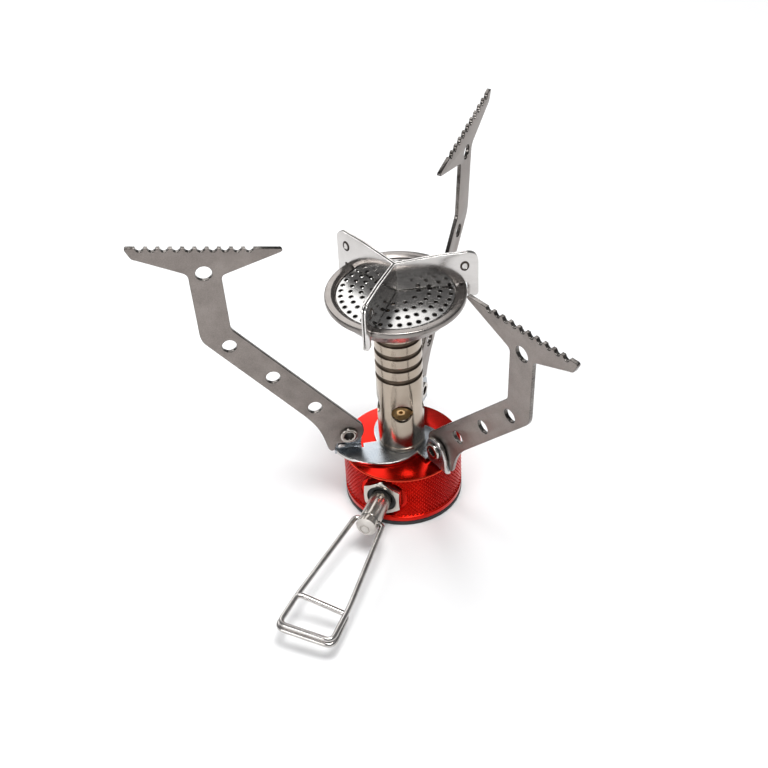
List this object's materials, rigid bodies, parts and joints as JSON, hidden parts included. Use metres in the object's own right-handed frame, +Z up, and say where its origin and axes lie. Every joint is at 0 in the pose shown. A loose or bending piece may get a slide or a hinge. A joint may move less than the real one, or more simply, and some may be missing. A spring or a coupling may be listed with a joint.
{
  "type": "camping stove",
  "caption": "Folding gas stove that screws onto a gas canister: knurled valve body, tube burner with wind vanes, toothed pan arms and a wire-handled valve.",
  "frame": {"origin": "on the burner tube's axis, at the underside of the base ring, where the canister's thread enters", "axes": "+Z up along the burner tube, -Y along the valve spindle towards its wire handle"},
  "size_m": [0.1185, 0.137, 0.0964],
  "materials": {
    "red_anodised": "red anodised aluminium, glossy turned top and diamond-knurled side",
    "black_rubber": "matt black rubber",
    "brass": "turned brass",
    "nickel": "bright nickel plating over turned metal, faint warm tint",
    "satin_steel": "satin-polished spun stainless steel",
    "vane_steel": "folded thin stainless sheet, satin, bright sheared edges",
    "tumbled_steel": "stamped stainless plate, tumbled warm grey faces, dark glossy edges",
    "zinc_steel": "zinc-plated pressed steel, cool grey, fine grain",
    "wire_steel": "drawn stainless wire, bright"
  },
  "bodies": {
    "root": {"valve_body": "red_anodised", "base_ring": "black_rubber", "canister_collar": "brass", "canister_seal": "black_rubber", "valve_pin": "brass", "jet_holder": "nickel", "jet_filter": "brass", "gas_jet": "brass", "burner_tube": "nickel", "burner_cup": "satin_steel", "burner_plate": "satin_steel", "wind_vane_right": "vane_steel", "wind_vane_rear": "vane_steel", "wind_vane_left": "vane_steel", "arm_bracket": "zinc_steel", "arm_rivet_left": "nickel", "arm_rivet_right": "nickel", "arm_rivet_rear": "nickel", "gland_nut": "nickel", "spindle_seal": "black_rubber", "spindle_wiper": "black_rubber"},
    "arm_left": {"arm_left": "tumbled_steel"},
    "arm_right": {"arm_right": "tumbled_steel"},
    "arm_rear": {"arm_rear": "tumbled_steel"},
    "spindle": {"valve_spindle": "nickel"},
    "handle": {"wire_handle": "wire_steel"}
  },
  "joints": [
    {"name": "arm_left_fold", "type": "hinge", "parent": "root", "child": "arm_left", "pos_m": [-0.01242, -0.00928, 0.02448], "axis": [-0.503, 0.8642, 0.011], "range_deg": [0, 23]},
    {"name": "arm_right_fold", "type": "hinge", "parent": "root", "child": "arm_right", "pos_m": [0.01397, -0.00673, 0.02461], "axis": [-0.5333, -0.8435, -0.064], "range_deg": [0, 27]},
    {"name": "arm_rear_fold", "type": "hinge", "parent": "root", "child": "arm_rear", "pos_m": [-0.00124, 0.01545, 0.02459], "axis": [0.9982, -0.0349, -0.049], "range_deg": [0, 23]},
    {"name": "spindle_turn", "type": "hinge", "parent": "root", "child": "spindle", "pos_m": [0, -0.0268, 0.01], "axis": [0, -1, 0], "range_deg": [0, 1080]},
    {"name": "handle_tilt", "type": "hinge", "parent": "spindle", "child": "handle", "pos_m": [0, -0.0268, 0.01], "axis": [-0.9952, 0, 0.0976], "range_deg": [-85, 110]}
  ]
}
